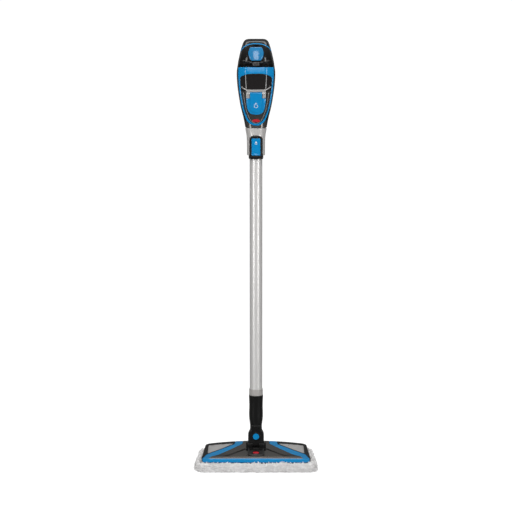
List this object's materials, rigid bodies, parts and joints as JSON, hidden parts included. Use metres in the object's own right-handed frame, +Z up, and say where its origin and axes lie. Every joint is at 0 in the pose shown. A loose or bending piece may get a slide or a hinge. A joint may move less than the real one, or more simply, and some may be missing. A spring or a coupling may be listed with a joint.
{
  "type": "steam mop",
  "caption": "Slim upright steam mop with a loop-handled handset, front water tank, long wand, two-axis swivel foot and fringed pad.",
  "frame": {"origin": "on the floor at the underside of the pad, directly below the axis of the wand", "axes": "+Z up along the wand, -Y towards the front of the mop where the tank faces, +X to the right seen from behind it"},
  "size_m": [0.3272, 0.2069, 1.1488],
  "materials": {
    "microfibre": "long soft white pile",
    "backing_cloth": "woven grey backing and hook mat",
    "gloss_black": "glossy moulded ABS",
    "satin_black": "satin moulded ABS",
    "gunmetal": "gloss pearl gunmetal plastic",
    "blue": "glossy saturated blue plastic",
    "blue_lens": "clear-coated blue lens",
    "silver_tube": "silver-grey satin paint on aluminium tube",
    "silver_plastic": "silver-grey moulded plastic",
    "warm_grey": "warm grey moulded plastic",
    "smoked_clear": "smoked clear plastic",
    "frosted_clear": "cloudy clear plastic",
    "steel": "bright steel",
    "cast_aluminium": "as-cast aluminium",
    "silicone": "translucent white silicone",
    "rubber": "soft black rubber",
    "circuit_board": "green solder mask"
  },
  "bodies": {
    "pad": {"pad_pile": "microfibre", "pad_rim": "microfibre", "pad_cloth": "backing_cloth"},
    "foot": {"foot_base": "satin_black", "foot_fascia": "gunmetal", "foot_centre_panel": "gunmetal", "foot_blue_trim": "blue", "foot_hub_cover": "gloss_black", "foot_end_left": "satin_black", "foot_end_right": "satin_black", "foot_window_left": "frosted_clear", "foot_window_right": "frosted_clear", "pivot_bracket": "satin_black", "pitch_pin": "steel", "steam_manifold": "silicone", "hook_strip": "backing_cloth", "base_screw_1": "steel", "base_screw_2": "steel"},
    "knuckle": {"swivel_knuckle": "gloss_black", "roll_pin": "steel"},
    "neck": {"neck_front_shell": "satin_black", "neck_rear_shell": "satin_black", "roll_pin_cap": "blue"},
    "snap_button": {"neck_snap_button": "satin_black"},
    "wand": {"wand_tube": "silver_tube", "wand_end_fitting": "warm_grey", "wand_steam_pipe": "silicone", "wand_collar": "silver_plastic", "button_escutcheon": "satin_black", "release_spring": "steel"},
    "release_button": {"wand_release_button": "blue"},
    "handset": {"housing_left": "gloss_black", "housing_right": "gloss_black", "nose_cover": "gloss_black", "nose_blue_trim": "blue", "lower_bezel": "gunmetal", "tank_bulkhead": "satin_black", "indicator_lens": "blue_lens", "grip_overmould": "rubber", "handset_spigot": "satin_black", "cord_gland": "rubber", "boiler": "cast_aluminium", "water_pump": "steel", "circuit_board": "circuit_board", "trigger_spring": "steel", "inlet_hose": "silicone", "feed_hose": "silicone", "steam_hose": "silicone", "housing_screw_1": "steel", "housing_screw_2": "steel", "housing_screw_3": "steel"},
    "trigger": {"steam_trigger": "blue"},
    "tank_latch": {"tank_release_latch": "warm_grey"},
    "tank": {"tank_shell": "smoked_clear", "tank_blue_frame": "blue", "tank_outlet_valve": "rubber", "fill_door_bracket": "warm_grey", "fill_door_pin": "steel"},
    "fill_door": {"tank_fill_door": "blue", "fill_plug": "rubber"}
  },
  "joints": [
    {"name": "foot_lift", "type": "slide", "parent": "pad", "child": "foot", "axis": [0, 0, 1], "range_m": [0, 0.06]},
    {"name": "neck_pitch", "type": "hinge", "parent": "foot", "child": "knuckle", "pos_m": [0, 0, 0.055], "axis": [-1, 0, 0], "range_deg": [0, 70]},
    {"name": "neck_roll", "type": "hinge", "parent": "knuckle", "child": "neck", "pos_m": [0, 0, 0.08], "axis": [0, 1, 0], "range_deg": [-75, 75]},
    {"name": "wand_pull", "type": "slide", "parent": "neck", "child": "wand", "axis": [0, 0, 1], "range_m": [0, 0.055]},
    {"name": "snap_press", "type": "slide", "parent": "neck", "child": "snap_button", "axis": [0, -1, 0], "range_m": [0, 0.003], "stiffness_N_per_m": 600, "springref_m": -0.002},
    {"name": "release_press", "type": "slide", "parent": "wand", "child": "release_button", "axis": [0, 1, 0], "range_m": [0, 0.002], "stiffness_N_per_m": 900, "springref_m": -0.002, "deforming": ["release_spring"]},
    {"name": "handset_lift", "type": "slide", "parent": "wand", "child": "handset", "axis": [0, 0, 1], "range_m": [0, 0.055]},
    {"name": "trigger_pull", "type": "hinge", "parent": "handset", "child": "trigger", "pos_m": [0, 0.085, 1.0908], "axis": [1, 0, 0], "range_deg": [0, 12], "stiffness_Nm_per_rad": 0.5, "springref_deg": -8.59, "deforming": ["trigger_spring"]},
    {"name": "latch_slide", "type": "slide", "parent": "handset", "child": "tank_latch", "axis": [0, 0, 1], "range_m": [0, 0.003], "stiffness_N_per_m": 500, "springref_m": -0.002},
    {"name": "tank_pull", "type": "slide", "parent": "handset", "child": "tank", "axis": [0, -1, 0], "range_m": [0, 0.07]},
    {"name": "fill_door_open", "type": "hinge", "parent": "tank", "child": "fill_door", "pos_m": [0, -0.0508, 1.0058], "axis": [-1, 0, 0], "range_deg": [0, 80]}
  ]
}
